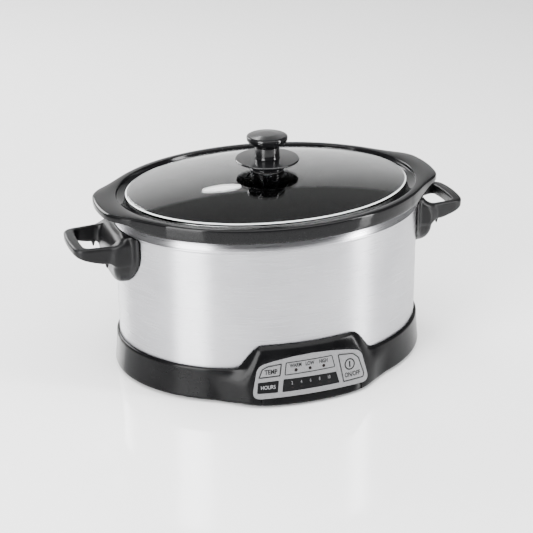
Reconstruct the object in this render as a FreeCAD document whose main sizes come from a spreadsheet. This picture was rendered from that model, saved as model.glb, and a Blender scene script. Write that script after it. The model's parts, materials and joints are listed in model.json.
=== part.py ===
import FreeCAD, Part
import math
import os
from types import SimpleNamespace
import Sketcher

# Oval programmable slow cooker: a steel shell with a heating well inside, a lift-out stoneware
# crock, a domed glass lid with a knob, two side handles, and a base band whose front swells into
# a control pod with three keys.
#
# Frame: +Z up, z = 0 where the feet stand, +X towards the right handle, -Y towards the user. The
# origin is under the middle of the whole object's bounding box. All sizes are in millimetres.
# "Oval axis" is the upright axis of the shell, which lies a little behind the origin because the
# pod stands out in front.

DRIVING_SIZES = (
    # shell and base band
    ("shell_half_length", 164.0), ("shell_half_depth", 126.0), ("sheet_steel", 0.8),
    ("shell_low", 30.0), ("bead_level", 165.5), ("bead_out", 1.0), ("shoulder_in", 5.0),
    ("shoulder_level", 175.0),
    ("base_low", 3.0), ("base_top", 38.0), ("base_flare", 6.0), ("base_ledge", 3.2),
    ("moulding", 2.5), ("shell_fit", 0.2),
    # heating well and heater
    ("well_gap", 10.0), ("well_low", 43.0), ("well_sheet", 0.7), ("well_taper", 8.0),
    ("heater_low", 62.0), ("heater_tall", 44.0), ("heater_thick", 1.2),
    # crock
    ("crock_gap", 13.5), ("crock_low", 46.5), ("crock_wall", 6.0), ("crock_floor", 8.0),
    ("rim_low", 175.6), ("rim_top", 189.5), ("rim_out", 6.0), ("rim_in", 1.5),
    ("ledge_level", 186.4), ("lug_reach", 186.0), ("lug_half", 37.0), ("lug_thick", 5.5),
    # lid and knob
    ("lid_gap", 12.3), ("glass", 4.0), ("rest_clearance", 0.3), ("dome_rise", 15.5),
    ("knob_radius", 21.75), ("knob_top_level", 245.0), ("knob_edge_level", 242.5),
    ("stem_radius", 11.0), ("flange_radius", 34.0), ("flange_level", 218.5),
    ("collar_radius", 18.0), ("gasket_thick", 1.5), ("knob_screw_radius", 2.5),
    # side handles
    ("handle_reach", 217.5), ("handle_top", 156.5), ("handle_low", 138.0), ("arm_half", 33.0),
    ("arm_thick", 7.0), ("grip_thick", 11.5), ("boss_face", 177.5), ("boss_half", 36.0),
    ("pad_half", 47.5), ("pad_thick", 3.0), ("pad_top", 165.0), ("pad_low", 108.0),
    # control pod and panel
    ("pod_root", 92.0), ("pod_root_y", 106.0), ("pod_nose", 51.0), ("pod_nose_y", 152.0),
    ("pod_back_y", 90.0), ("pod_top", 63.5), ("pod_top_half", 46.0), ("pod_curve", 220.0),
    ("pod_front", 145.2),
    ("panel_tilt", 12.0), ("panel_y", 139.0), ("panel_level", 32.5), ("panel_half", 63.0),
    ("panel_low", 20.4), ("panel_high", 21.4), ("overlay", 1.0), ("carrier", 1.6),
    ("key_thick", 2.4), ("key_gap", 0.35), ("key_travel", 0.6), ("row_top", 15.0),
    ("row_mid_high", 1.8), ("row_mid_low", 2.5), ("row_low", 15.0), ("indicator_radius", 1.7),
    ("indicator_pitch", 14.9), ("digit_pitch", 9.9), ("trim_half", 54.0), ("trim_top", 13.0),
    # electronics
    ("board", 1.6), ("board_depth", 11.0), ("board_half", 54.0), ("switch_half", 3.0),
    ("switch_gap", 0.25), ("board_x", 24.0), ("board_y", 33.0), ("stand_off", 6.0),
    # feet, fixings and cord inlet
    ("foot_radius", 9.0), ("foot_tall", 5.0), ("foot_x", 104.0), ("foot_y", 72.0),
    ("plate_thick", 2.0), ("screw_radius", 2.0), ("screw_head", 4.0),
    ("gland_level", 20.0), ("gland_bore", 3.6), ("gland_neck", 6.5), ("gland_flange", 9.0),
    ("gland_length", 12.0), ("gland_cap", 2.0),
)

doc = FreeCAD.newDocument("slow_cooker")
sheet = doc.addObject("Spreadsheet::Sheet", "Sizes")


class Size:
    """A number that also carries the spreadsheet formula it comes from."""

    def __init__(self, formula, value):
        self.formula = formula
        self.value = value

    def __add__(self, other):
        other = size_of(other)
        return Size(f"({self.formula} + {other.formula})", self.value + other.value)

    def __sub__(self, other):
        other = size_of(other)
        return Size(f"({self.formula} - {other.formula})", self.value - other.value)

    def __mul__(self, other):
        other = size_of(other)
        return Size(f"({self.formula} * {other.formula})", self.value * other.value)

    def __truediv__(self, other):
        other = size_of(other)
        return Size(f"({self.formula} / {other.formula})", self.value / other.value)

    def __neg__(self):
        return Size(f"(0 - {self.formula})", -self.value)

    def __radd__(self, other):
        return size_of(other) + self

    def __rsub__(self, other):
        return size_of(other) - self

    def __rmul__(self, other):
        return size_of(other) * self


def size_of(number):
    """Turn a plain number into a Size, and leave a Size as it is."""
    if isinstance(number, Size):
        return number
    return Size(f"({float(number)!r})", float(number))


def sine(angle):
    return Size(f"sin({angle.formula} * 1 deg)", math.sin(math.radians(angle.value)))


def cosine(angle):
    return Size(f"cos({angle.formula} * 1 deg)", math.cos(math.radians(angle.value)))


S = SimpleNamespace()
for row, (alias, number) in enumerate(DRIVING_SIZES, start=1):
    sheet.set(f"A{row}", alias)
    sheet.set(f"B{row}", str(number))
    sheet.setAlias(f"B{row}", alias)
    setattr(S, alias, Size(f"Sizes.{alias}", number))
doc.recompute()

# The oval axis stands behind the origin by half of what the pod adds to the depth.
AXIS_Y = (S.pod_front - S.shell_half_depth - S.base_flare) / 2
X_AXIS = FreeCAD.Vector(1, 0, 0)
Y_AXIS = FreeCAD.Vector(0, 1, 0)
Z_AXIS = FreeCAD.Vector(0, 0, 1)

nodes = {}


# ---------------------------------------------------------------- helpers

def bind(target, path, number):
    """Bind one property of a document object to a size."""
    target.setExpression(path, size_of(number).formula)


def place(target, x=0, y=0, z=0, axis=None, angle=0):
    """Put an object at x, y, z, counted from the oval axis and the floor."""
    if axis is not None:
        target.Placement = FreeCAD.Placement(FreeCAD.Vector(), FreeCAD.Rotation(axis, angle))
    bind(target, "Placement.Base.x", x)
    bind(target, "Placement.Base.y", AXIS_Y + y)
    bind(target, "Placement.Base.z", z)
    return target


def node(name, target):
    """Name a finished sub-part: its label is its file name."""
    target.Label = name
    nodes[name] = target
    return target


def block(length, width, height, x, y, z):
    """A box centred on x, y with its underside at z."""
    box = doc.addObject("Part::Box", "Block")
    for path, number in (("Length", length), ("Width", width), ("Height", height)):
        bind(box, path, number)
    return place(box, x - size_of(length) / 2, y - size_of(width) / 2, z)


def rod(radius, length, x, y, z, axis=None, angle=0):
    """A cylinder whose first end is centred on x, y, z."""
    cylinder = doc.addObject("Part::Cylinder", "Rod")
    bind(cylinder, "Radius", radius)
    bind(cylinder, "Height", length)
    return place(cylinder, x, y, z, axis, angle)


def cut(base, *tools):
    """Take the tools away from the base, one after the other."""
    for tool in tools:
        result = doc.addObject("Part::Cut", "Cut")
        result.Base = base
        result.Tool = tool
        base = result
    return base


def fuse(*shapes):
    result = doc.addObject("Part::MultiFuse", "Fuse")
    result.Shapes = list(shapes)
    return result


def common(first, *others):
    """What all the shapes share."""
    for other in others:
        result = doc.addObject("Part::Common", "Common")
        result.Base = first
        result.Tool = other
        first = result
    return first


def group(shapes):
    """Several separate solids of one kind, kept together in one node."""
    result = doc.addObject("Part::Compound", "Group")
    result.Links = list(shapes)
    return result


def oval_ring(offset, level):
    """An ellipse round the oval axis, at one distance outside the shell wall."""
    ring = doc.addObject("Part::Ellipse", "Ring")
    bind(ring, "MajorRadius", S.shell_half_length + offset)
    bind(ring, "MinorRadius", S.shell_half_depth + offset)
    return place(ring, 0, 0, level)


def oval_stack(levels):
    """A closed oval solid through rings given as (distance outside the shell wall, level)."""
    loft = doc.addObject("Part::Loft", "OvalStack")
    loft.Sections = [oval_ring(offset, level) for offset, level in levels]
    loft.Solid = True
    loft.Ruled = True
    return loft


def oval_column(offset, low, high):
    """A straight oval solid, at one distance from the shell wall."""
    column = doc.addObject("Part::Extrusion", "OvalColumn")
    column.Base = oval_ring(offset, low)
    column.DirMode = "Custom"
    column.Dir = Z_AXIS
    column.Solid = True
    bind(column, "LengthFwd", size_of(high) - low)
    return column


def origin_plane(body, role):
    return [item for item in body.Origin.OriginFeatures if item.Role == role][0]


def new_sketch(body, plane):
    sketch = body.newObject("Sketcher::SketchObject", "Outline")
    sketch.AttachmentSupport = [(origin_plane(body, plane), "")]
    sketch.MapMode = "FlatFace"
    return sketch


def hold_point(sketch, geometry, end, x, y):
    """Fix one end of a sketch edge at x, y, bound to the sheet."""
    for kind, axis, number in (("DistanceX", -2, size_of(x)), ("DistanceY", -1, size_of(y))):
        if abs(number.value) < 1e-9:
            sketch.addConstraint(Sketcher.Constraint("PointOnObject", geometry, end, axis))
        else:
            held = sketch.addConstraint(
                Sketcher.Constraint(kind, -1, 1, geometry, end, number.value))
            sketch.setExpression(f"Constraints[{held}]", number.formula)


def polygon(body, plane, points):
    """A closed outline with straight sides, every corner held by the sheet."""
    sketch = new_sketch(body, plane)
    corners = [FreeCAD.Vector(size_of(x).value, size_of(y).value, 0) for x, y in points]
    count = len(corners)
    for index, corner in enumerate(corners):
        sketch.addGeometry(Part.LineSegment(corner, corners[(index + 1) % count]))
    for index in range(count):
        sketch.addConstraint(
            Sketcher.Constraint("Coincident", index, 2, (index + 1) % count, 1))
    for index, (x, y) in enumerate(points):
        hold_point(sketch, index, 1, x, y)
    return sketch


def new_body():
    return doc.addObject("PartDesign::Body", "Body")


def pad(body, sketch, length, midplane=False, backwards=False):
    feature = body.newObject("PartDesign::Pad", "Pad")
    feature.Profile = sketch
    feature.Midplane = midplane
    feature.Reversed = backwards
    bind(feature, "Length", length)
    sketch.Visibility = False
    return feature


def round_edges(body, feature, radius, wanted):
    """Fillet the edges of a feature for which wanted(edge) is true."""
    doc.recompute()
    names = [f"Edge{index}" for index, edge in enumerate(feature.Shape.Edges, start=1)
             if wanted(edge)]
    fillet = body.newObject("PartDesign::Fillet", "Fillet")
    fillet.Base = (feature, names)
    bind(fillet, "Radius", radius)
    return fillet


def along(edge, axis):
    """True when a straight edge runs along an axis."""
    if edge.Curve.TypeId != "Part::GeomLine":
        return False
    return abs(abs(edge.tangentAt(edge.FirstParameter).dot(axis)) - 1) < 1e-6


def prism(points, length, plane="XY_Plane", midplane=False, backwards=False, rounding=None,
          rounded=()):
    """A body made by padding a straight-sided outline. The upright edges at the corners whose
    numbers are in rounded get fillets."""
    body = new_body()
    feature = pad(body, polygon(body, plane, points), length, midplane, backwards)
    if rounded:
        normal = {"XY_Plane": Z_AXIS, "XZ_Plane": Y_AXIS, "YZ_Plane": X_AXIS}[plane]
        spots = [(size_of(points[index][0]).value, size_of(points[index][1]).value)
                 for index in rounded]

        def wanted(edge):
            middle = edge.Vertexes[0].Point
            across, up = [value for value, part in zip(middle, normal) if part == 0]
            return along(edge, normal) and any(
                abs(across - x) + abs(up - y) < 1e-3 for x, y in spots)

        round_edges(body, feature, rounding, wanted)
    return body


def turned(profile):
    """A body turned about its own upright axis from a half profile of (radius, level)."""
    body = new_body()
    sketch = polygon(body, "XZ_Plane", profile)
    feature = body.newObject("PartDesign::Revolution", "Turned")
    feature.Profile = sketch
    feature.ReferenceAxis = (sketch, ["V_Axis"])
    feature.Angle = 360
    sketch.Visibility = False
    return body


def mirrored(points):
    """Complete a left-right symmetric outline from its right half, listed bottom to top."""
    return list(points) + [(-size_of(x), y) for x, y in reversed(points)
                           if abs(size_of(x).value) > 1e-9]


def other_side(source):
    """The mirror image of an object in the upright plane between left and right."""
    mirror = doc.addObject("Part::Mirroring", "OtherSide")
    mirror.Source = source
    mirror.Normal = X_AXIS
    return mirror


def screw(length, radius, head_radius, head_tall):
    """A pan-head screw standing on its point: shank up to z = length, head above it."""
    return turned(((0, 0), (radius, 0), (radius, length), (head_radius, length),
                   (head_radius, size_of(length) + head_tall), (0, size_of(length) + head_tall)))


# ---------------------------------------------------------------- panel frame
# The panel's own frame: u to the right, v up along the tilted face, w out of the face.

def on_panel(target, v=0, w=0, angle=90 - S.panel_tilt.value):
    """Lay a local object (x = u, y = v, z = w) on the tilted face of the pod."""
    rise, lean = cosine(S.panel_tilt), sine(S.panel_tilt)
    y = -S.panel_y + lean * v - rise * w
    z = S.panel_level + rise * v + lean * w
    return place(target, 0, y, z, X_AXIS, angle)


def face_cylinder(depth, reach=80):
    """The bulging face of the pod, a cylinder along v, sunk below the face by depth."""
    cylinder = doc.addObject("Part::Cylinder", "Face")
    bind(cylinder, "Radius", S.pod_curve - depth)
    bind(cylinder, "Height", 2 * reach)
    cylinder.Placement = FreeCAD.Placement(FreeCAD.Vector(0, -reach, 0),
                                           FreeCAD.Rotation(X_AXIS, -90))
    bind(cylinder, "Placement.Base.z", -S.pod_curve)
    return cylinder


def pod_face(depth, reach=80):
    """The same bulging face as a cylinder that already stands in the pod."""
    cylinder = doc.addObject("Part::Cylinder", "PodFace")
    bind(cylinder, "Radius", S.pod_curve - depth)
    bind(cylinder, "Height", 2 * reach)
    return on_panel(cylinder, -reach, -S.pod_curve, -S.panel_tilt.value)


def curved_plate(outline, depth, thick):
    """A plate that follows the bulging face, from depth to depth + thick below it."""
    column = prism(outline, 40)
    column.Placement.Base = FreeCAD.Vector(0, 0, -30)
    skin = cut(face_cylinder(depth), face_cylinder(size_of(depth) + thick))
    return common(skin, column)


def grown(outline, amount):
    """Move each corner of an outline away from its middle by about amount, each way."""
    middle_u = sum(size_of(u).value for u, _ in outline) / len(outline)
    middle_v = sum(size_of(v).value for _, v in outline) / len(outline)
    return [(size_of(u) + amount * math.copysign(1, size_of(u).value - middle_u),
             size_of(v) + amount * math.copysign(1, size_of(v).value - middle_v))
            for u, v in outline]


PANEL_OUTLINE = mirrored(((S.panel_half - 6, -S.panel_low), (S.panel_half, 7 - S.panel_low),
                          (S.panel_half - 5.5, 8), (S.panel_half - 14, S.panel_high - 4.6),
                          (24, S.panel_high - 1.1), (8, S.panel_high)))
TEMP_KEY = ((-56.5, S.row_mid_high), (-34, S.row_mid_high), (-31.8, S.row_top),
            (-46, S.row_top - 1), (-52, S.row_top - 4))
HOURS_KEY = ((-58.3, -S.row_low), (-38, -S.row_low), (-36, -S.row_mid_low),
             (-57, -S.row_mid_low))
POWER_KEY = ((33, -S.row_low), (56.5, -S.row_low), (58, 4 - S.row_low), (53.5, S.row_top - 9),
             (46.5, S.row_top - 2), (28.3, S.row_top))
DISPLAY = ((-33.7, -S.row_low), (28.8, -S.row_low), (25.8, -S.row_mid_low),
           (-31.4, -S.row_mid_low))
INDICATORS = [(-2.8 + step * S.indicator_pitch.value, 6.4) for step in (-1, 0, 1)]
DIGITS = [(-3.2 + step * S.digit_pitch.value, -11.0) for step in (-2, -1, 0, 1, 2)]
BOARD_FIXINGS = ((-50, -0.35), (0, -0.35), (25.5, -0.35))
SWITCHES = ((-44, 8), (-47, -9), (44, 2))
BOARD_SCREW = 3.6
KEYS = (("temp_key", TEMP_KEY), ("hours_key", HOURS_KEY), ("power_key", POWER_KEY))


def panel_rods(spots, radius, low, high):
    """Upright rods on the panel at the given u, v, from depth low up to depth high."""
    rods = []
    for u, v in spots:
        cylinder = doc.addObject("Part::Cylinder", "PanelRod")
        bind(cylinder, "Radius", radius)
        bind(cylinder, "Height", size_of(low) - high)
        cylinder.Placement.Base = FreeCAD.Vector(u, v, 0)
        bind(cylinder, "Placement.Base.z", -size_of(low))
        rods.append(cylinder)
    return rods


# ---------------------------------------------------------------- steel shell and heating well

def make_shell():
    outside = oval_stack(((0, S.shell_low), (0, S.bead_level - 2), (S.bead_out, S.bead_level - 1),
                          (S.bead_out, S.bead_level), (-S.shoulder_in, S.shoulder_level)))
    inside = oval_stack(((-S.sheet_steel, S.shell_low - 1),
                         (-S.sheet_steel, S.bead_level - 1),
                         (-S.shoulder_in - S.sheet_steel * 2, S.shoulder_level + 0.1)))
    pod_window = block(90, 40, 22, 0, -S.shell_half_depth, S.shell_low)
    handle_holes = [rod(S.screw_radius + 0.2, 60, side * 120, side_y, level, Y_AXIS, side * 90)
                    for side in (-1, 1) for side_y, level in HANDLE_SCREWS]
    node("outer_shell", cut(outside, inside, pod_window, *handle_holes))


def make_well():
    flange_low = S.shoulder_level - S.well_sheet - 2.2
    top = -S.well_gap
    outside = oval_stack(((top - S.well_taper, S.well_low), (top, flange_low),
                          (top, S.shoulder_level)))
    flange = oval_column(-S.shoulder_in - S.sheet_steel * 2 - 0.4,
                         S.shoulder_level - S.well_sheet, S.shoulder_level)
    inside = oval_stack(((top - S.well_taper - S.well_sheet, S.well_low + S.well_sheet),
                         (top - S.well_sheet, flange_low), (top - S.well_sheet,
                                                            S.shoulder_level + 1)))
    probe_hole = rod(5.5, 10, 0, 0, S.well_low - 4)
    node("heating_well", cut(fuse(outside, flange), inside, probe_hole))

    # The heater is a mica band wrapped round the well, with a glass-fibre blanket outside it and
    # a sprung strap round both.
    lean = S.well_taper / (S.shoulder_level - S.well_low)
    low_in = top - S.well_taper + lean * (S.heater_low - S.well_low) + 0.3
    high_in = low_in + lean * S.heater_tall
    high = S.heater_low + S.heater_tall

    def sleeve(inner, thick, low_trim=0.0):
        outer = oval_stack(((low_in + inner + thick, S.heater_low + low_trim),
                            (high_in + inner + thick, high - low_trim)))
        hollow = oval_stack(((low_in + inner, S.heater_low + low_trim),
                             (high_in + inner, high - low_trim)))
        return cut(outer, hollow)

    front_gap = block(26, 60, 60, 0, -S.shell_half_depth, S.heater_low - 8)
    blanket_gap = block(40, 60, 60, 0, -S.shell_half_depth, S.heater_low - 8)
    node("heating_band", cut(sleeve(0, S.heater_thick), front_gap))
    node("heater_blanket", cut(sleeve(S.heater_thick + 0.1, 2.5), blanket_gap))
    strap_low = S.heater_low + 17
    strap = cut(oval_column(high_in + S.heater_thick + 3.4, strap_low, strap_low + 10),
                oval_column(high_in + S.heater_thick + 2.8, strap_low - 1, strap_low + 11),
                blanket_gap)
    node("heater_strap", strap)
    tab_y = -S.shell_half_depth + S.well_gap + 3.5
    tabs = [block(6, 0.8, 16, side * 8, tab_y, S.heater_low + 4) for side in (-1, 1)]
    node("heater_tabs", group(tabs))


# ---------------------------------------------------------------- base band and control pod

def pod_volume(inset):
    """The control pod as a solid, every face moved in by inset."""
    side_in = inset * 1.5
    plan = prism(mirrored(((S.pod_root - side_in, 6 - S.pod_root_y),
                           (S.pod_root - side_in, -S.pod_root_y),
                           (S.pod_nose - side_in, -S.pod_nose_y))),
                 S.pod_top - S.base_low)
    place(plan, 0, 0, S.base_low)
    # Seen from the front, the top edge falls from the pod to the band in an S.
    top_half = S.pod_top_half - inset
    fall = S.pod_top - S.base_top
    low = S.base_top - inset
    front = prism(mirrored(((S.pod_root + 4, S.base_low), (S.pod_root + 4, S.base_top - 9),
                            (top_half + 38, low), (top_half + 28, low + fall * 0.14),
                            (top_half + 21, low + fall * 0.39),
                            (top_half + 15, low + fall * 0.7),
                            (top_half + 9, low + fall * 0.9), (top_half, low + fall))),
                  S.pod_nose_y - S.pod_back_y + 18, plane="XZ_Plane")
    place(front, 0, -S.pod_back_y, 0)
    return common(plan, front, pod_face(inset))


def band_volume(inset, lip):
    """The oval base band as a solid, every face moved in by inset. The lip is how far the
    rounded top edge draws in."""
    return oval_stack(((S.base_flare - inset, S.base_low), (S.base_ledge + 0.6 - inset, 30),
                       (S.base_ledge - inset, S.base_top - 2 - inset),
                       (S.base_ledge - lip - inset, S.base_top - inset)))


def make_base():
    outside = fuse(band_volume(0, 1.5), pod_volume(0))
    hollow = fuse(band_volume(S.moulding, 0), pod_volume(S.moulding.value))
    seat = oval_column(S.shell_fit, S.shell_low - 1, S.pod_top + 5)
    aperture = on_panel(prism(grown(PANEL_OUTLINE, 0.25), 24), w=-12)
    trim_cut = block(S.trim_half * 2 + 0.6, 34, S.trim_top + 0.4 - S.base_low + 1, 0,
                     -S.panel_y - 5, S.base_low - 1)
    gland_y = S.shell_half_depth + S.base_flare - 0.3 - S.gland_length
    gland_hole = rod(S.gland_neck + 0.1, 30, 0, gland_y - 5, S.gland_level, X_AXIS, -90)
    gland_seat = rod(S.gland_flange + 0.1, 20, 0,
                     gland_y + S.gland_length - S.gland_cap - 0.05, S.gland_level, X_AXIS, -90)
    node("base_housing", cut(outside, hollow, seat, aperture, trim_cut, gland_hole, gland_seat))

    wall = cut(pod_volume(0), pod_volume(S.moulding.value))
    strip = block(S.trim_half * 2, 30, S.trim_top - S.base_low - 0.2, 0, -S.panel_y - 5,
                  S.base_low + 0.2)
    node("lower_trim", cut(common(wall, strip), aperture))

    plate_low = S.foot_tall
    plate_top = plate_low + S.plate_thick
    oval_cover = oval_column(S.base_flare - S.moulding - 1.2, plate_low, plate_top)
    pod_cover = common(pod_volume(S.moulding.value + 0.4),
                       block(150, 60, S.plate_thick, 0, -S.shell_half_depth, plate_low))
    cover = fuse(oval_cover, pod_cover)
    screws = [(x * 0.62, y * 1.05) for x in (-S.foot_x.value, S.foot_x.value)
              for y in (-S.foot_y.value, S.foot_y.value)]
    holes = [rod(S.screw_radius + 0.2, 6, x, y, plate_low - 2) for x, y in screws]
    node("bottom_plate", cut(cover, *holes))
    fixings = [place(screw(12, S.screw_radius, S.screw_head, 1.8), x, y, plate_low + 12,
                     X_AXIS, 180) for x, y in screws]
    node("bottom_screws", group(fixings))

    for across, x in (("left", -S.foot_x), ("right", S.foot_x)):
        for along_y, y in (("front", -S.foot_y), ("rear", S.foot_y)):
            foot = turned(((0, 0), (S.foot_radius - 1, 0), (S.foot_radius, 1),
                           (S.foot_radius, S.foot_tall), (0, S.foot_tall)))
            node(f"foot_{along_y}_{across}", place(foot, x, y, 0))

    cap_low = S.gland_length - S.gland_cap
    gland = turned(((S.gland_bore, 0), (S.gland_neck, 0), (S.gland_neck + 2, 4),
                    (S.gland_neck + 2, 7), (S.gland_neck, 7), (S.gland_neck, cap_low),
                    (S.gland_flange, cap_low), (S.gland_flange, cap_low + 1.2),
                    (S.gland_neck, S.gland_length), (S.gland_bore, S.gland_length)))
    node("cord_gland", place(gland, 0, gland_y, S.gland_level, X_AXIS, -90))


# ---------------------------------------------------------------- panel, keys and control board

def make_panel():
    key_holes = [prism(grown(outline, S.key_gap.value), 40) for _, outline in KEYS]
    display_hole = prism(grown(DISPLAY, 0.1), 40)
    for hole in key_holes + [display_hole]:
        hole.Placement.Base = FreeCAD.Vector(0, 0, -30)
    lamp_holes = panel_rods(INDICATORS, S.indicator_radius + 0.1, 12, -2)
    overlay = curved_plate(PANEL_OUTLINE, 0, S.overlay)
    node("panel_overlay", on_panel(cut(overlay, *key_holes, display_hole, *lamp_holes)))

    slot = prism(grown(DISPLAY, -2.5), 40)
    slot.Placement.Base = FreeCAD.Vector(0, 0, -30)
    carrier_holes = [prism(grown(outline, S.key_gap.value), 40) for _, outline in KEYS]
    for hole in carrier_holes:
        hole.Placement.Base = FreeCAD.Vector(0, 0, -30)
    carrier = curved_plate(grown(PANEL_OUTLINE, -0.4), S.overlay + 0.05, S.carrier)
    carrier_lamps = panel_rods(INDICATORS, S.indicator_radius + 0.1, 12, -2)
    back = S.overlay.value + S.carrier.value
    stand_offs, pilot_bores = [], []
    for u, v in BOARD_FIXINGS:
        sag = u * u / (2 * S.pod_curve.value)
        stand_offs += panel_rods([(u, v)], 2.0, S.board_depth, back + sag - 0.6)
        pilot_bores += panel_rods([(u, v)], 1.25, S.board_depth + 1, back + sag + 0.1)
    node("panel_carrier", on_panel(cut(fuse(carrier, *stand_offs), *carrier_holes, slot,
                                       *carrier_lamps, *pilot_bores)))

    node("display_window", on_panel(curved_plate(DISPLAY, 0.1, S.overlay - 0.1)))
    for name, outline in KEYS:
        node(name, on_panel(curved_plate(outline, 0, S.key_thick)))

    node("status_lamps", on_panel(group(
        panel_rods(INDICATORS, S.indicator_radius, S.board_depth, 0.4))))
    node("hour_lamps", on_panel(group(panel_rods(DIGITS, 1.5, S.board_depth, 3.4))))

    board = prism(((-S.board_half, -18.5), (S.board_half, -18.5), (S.board_half, 12.5),
                   (-S.board_half, 12.5)), S.board)
    bind(board, "Placement.Base.z", -S.board_depth - S.board)
    drilled = panel_rods(BOARD_FIXINGS, 1.3, 14, 6)
    node("control_board", on_panel(cut(board, *drilled)))
    # Each tactile switch ends just short of its key pressed home.
    switches = []
    for u, v in SWITCHES:
        left, right = u - S.switch_half, u + S.switch_half
        low, high = v - S.switch_half, v + S.switch_half
        outer = abs(u) + S.switch_half
        sag = outer * outer / (S.pod_curve * 2)
        tall = S.board_depth - S.key_thick - sag - S.key_travel - S.switch_gap
        switch = prism(((left, low), (right, low), (right, high), (left, high)), tall)
        bind(switch, "Placement.Base.z", -S.board_depth)
        switches.append(switch)
    node("key_switches", on_panel(group(switches)))
    pins = []
    for u, v in BOARD_FIXINGS:
        pin = screw(BOARD_SCREW, 1.2, 2.4, 1.4)
        pin.Placement = FreeCAD.Placement(FreeCAD.Vector(u, v, 0),
                                          FreeCAD.Rotation(X_AXIS, 180))
        bind(pin, "Placement.Base.z", BOARD_SCREW - S.board_depth - S.board - 0.02)
        pins.append(pin)
    node("board_screws", on_panel(group(pins)))


# ---------------------------------------------------------------- crock

def make_crock():
    body_out = oval_stack(((-S.crock_gap - 14, S.crock_low), (-S.crock_gap - 8, S.crock_low + 5),
                           (-S.crock_gap - 5, S.crock_low + 20), (-S.crock_gap, S.rim_low + 4)))
    rim = oval_stack(((S.rim_out - 1.5, S.rim_low), (S.rim_out, S.rim_low + 2),
                      (S.rim_out, S.rim_top - 2), (S.rim_out - 2, S.rim_top)))
    lug_plan = mirrored(((0, -S.lug_half - 26), (S.shell_half_length - 20, -S.lug_half - 22),
                         (S.shell_half_length - 6, -S.lug_half - 9),
                         (S.lug_reach - 10, -S.lug_half + 2), (S.lug_reach - 2, -S.lug_half + 12),
                         (S.lug_reach, 0), (S.lug_reach - 2, S.lug_half - 12),
                         (S.lug_reach - 10, S.lug_half - 2),
                         (S.shell_half_length - 6, S.lug_half + 9),
                         (S.shell_half_length - 20, S.lug_half + 22), (0, S.lug_half + 26)))
    lugs = place(prism(lug_plan, S.lug_thick), 0, 0, S.rim_top - S.lug_thick)
    floor = S.crock_low + S.crock_floor
    inner = -S.crock_gap - S.crock_wall
    cavity = oval_stack(((inner - 16, floor), (inner - 8, floor + 4), (inner - 4, floor + 18),
                         (inner, S.ledge_level - 6), (inner + 1.5, S.ledge_level)))
    recess = oval_stack(((inner, S.ledge_level), (-S.rim_in - 2, S.ledge_level),
                         (-S.rim_in, S.rim_top + 0.1)))
    node("crock", cut(fuse(body_out, rim, lugs), cavity, recess))


# ---------------------------------------------------------------- lid and knob

DOME_STEPS = 6
DOME_INWARD = 112.0


def make_lid():
    edge_low = S.ledge_level + S.rest_clearance
    edge_top = edge_low + S.glass
    out = -S.lid_gap

    angles = [math.pi / 2 * step / DOME_STEPS for step in range(DOME_STEPS)]

    def dome(springing, shrink):
        """Rings of the dome, from its springing line up to its flat crown."""
        return [(out - shrink - DOME_INWARD * (1 - math.cos(angle)),
                 springing + S.dome_rise * math.sin(angle)) for angle in angles]

    outside = fuse(oval_column(out, edge_low, edge_top), oval_stack(dome(edge_top, 0)))
    hollow = oval_stack(dome(edge_low - 0.01, 3.0))
    screw_hole = rod(S.knob_screw_radius + 0.4, 60, 0, 0, edge_low)
    node("lid_glass", cut(outside, hollow, screw_hole))

    crown = edge_top + S.dome_rise * math.sin(angles[-1])
    under = crown - S.glass
    seat = crown + S.gasket_thick
    hole = S.knob_screw_radius + 0.1
    gasket = turned(((S.knob_screw_radius + 0.4, 0), (S.collar_radius - 1, 0),
                     (S.collar_radius - 1, S.gasket_thick),
                     (S.knob_screw_radius + 0.4, S.gasket_thick)))
    node("knob_gasket", place(gasket, 0, 0, crown))
    flange_low = S.flange_level - 2.5
    flange = turned(((hole, seat), (S.collar_radius, seat), (S.collar_radius - 3, flange_low - 2),
                     (S.collar_radius + 4, flange_low), (S.flange_radius - 0.8, flange_low + 0.4),
                     (S.flange_radius, flange_low + 1.4), (S.flange_radius - 1.2, S.flange_level),
                     (hole, S.flange_level + 1)))
    node("knob_flange", place(flange))
    neck_low = S.flange_level + 1
    stem = turned(((hole, neck_low), (S.stem_radius + 2, neck_low), (S.stem_radius, neck_low + 3),
                   (S.stem_radius, neck_low + 8), (S.stem_radius - 0.8, neck_low + 8.6),
                   (S.stem_radius, neck_low + 9.2), (S.stem_radius, neck_low + 12),
                   (hole, neck_low + 12)))
    node("knob_stem", place(stem))
    cap_low = neck_low + 12
    cap = turned(((0, cap_low), (S.stem_radius, cap_low), (S.stem_radius + 3, cap_low + 4),
                  (S.knob_radius - 4, S.knob_edge_level - 3.2),
                  (S.knob_radius, S.knob_edge_level - 1.6), (S.knob_radius, S.knob_edge_level),
                  (S.knob_radius - 2, S.knob_edge_level + 1.4), (10, S.knob_top_level - 0.3),
                  (0, S.knob_top_level)))
    node("knob_cap", place(cap))
    washer_thick, head_tall = 1.2, 2.4
    washer_low = under - 0.02 - washer_thick
    head_low = washer_low - head_tall
    washer = turned(((hole, 0), (9, 0), (9, washer_thick), (hole, washer_thick)))
    node("knob_washer", place(washer, 0, 0, washer_low))
    bolt_tall = cap_low - head_low
    bolt = turned(((0, 0), (5, 0), (5, head_tall), (S.knob_screw_radius, head_tall),
                   (S.knob_screw_radius, bolt_tall), (0, bolt_tall)))
    node("knob_screw", place(bolt, 0, 0, head_low))


# ---------------------------------------------------------------- side handles

HANDLE_SCREWS = ((-14, 134), (14, 134))


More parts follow.
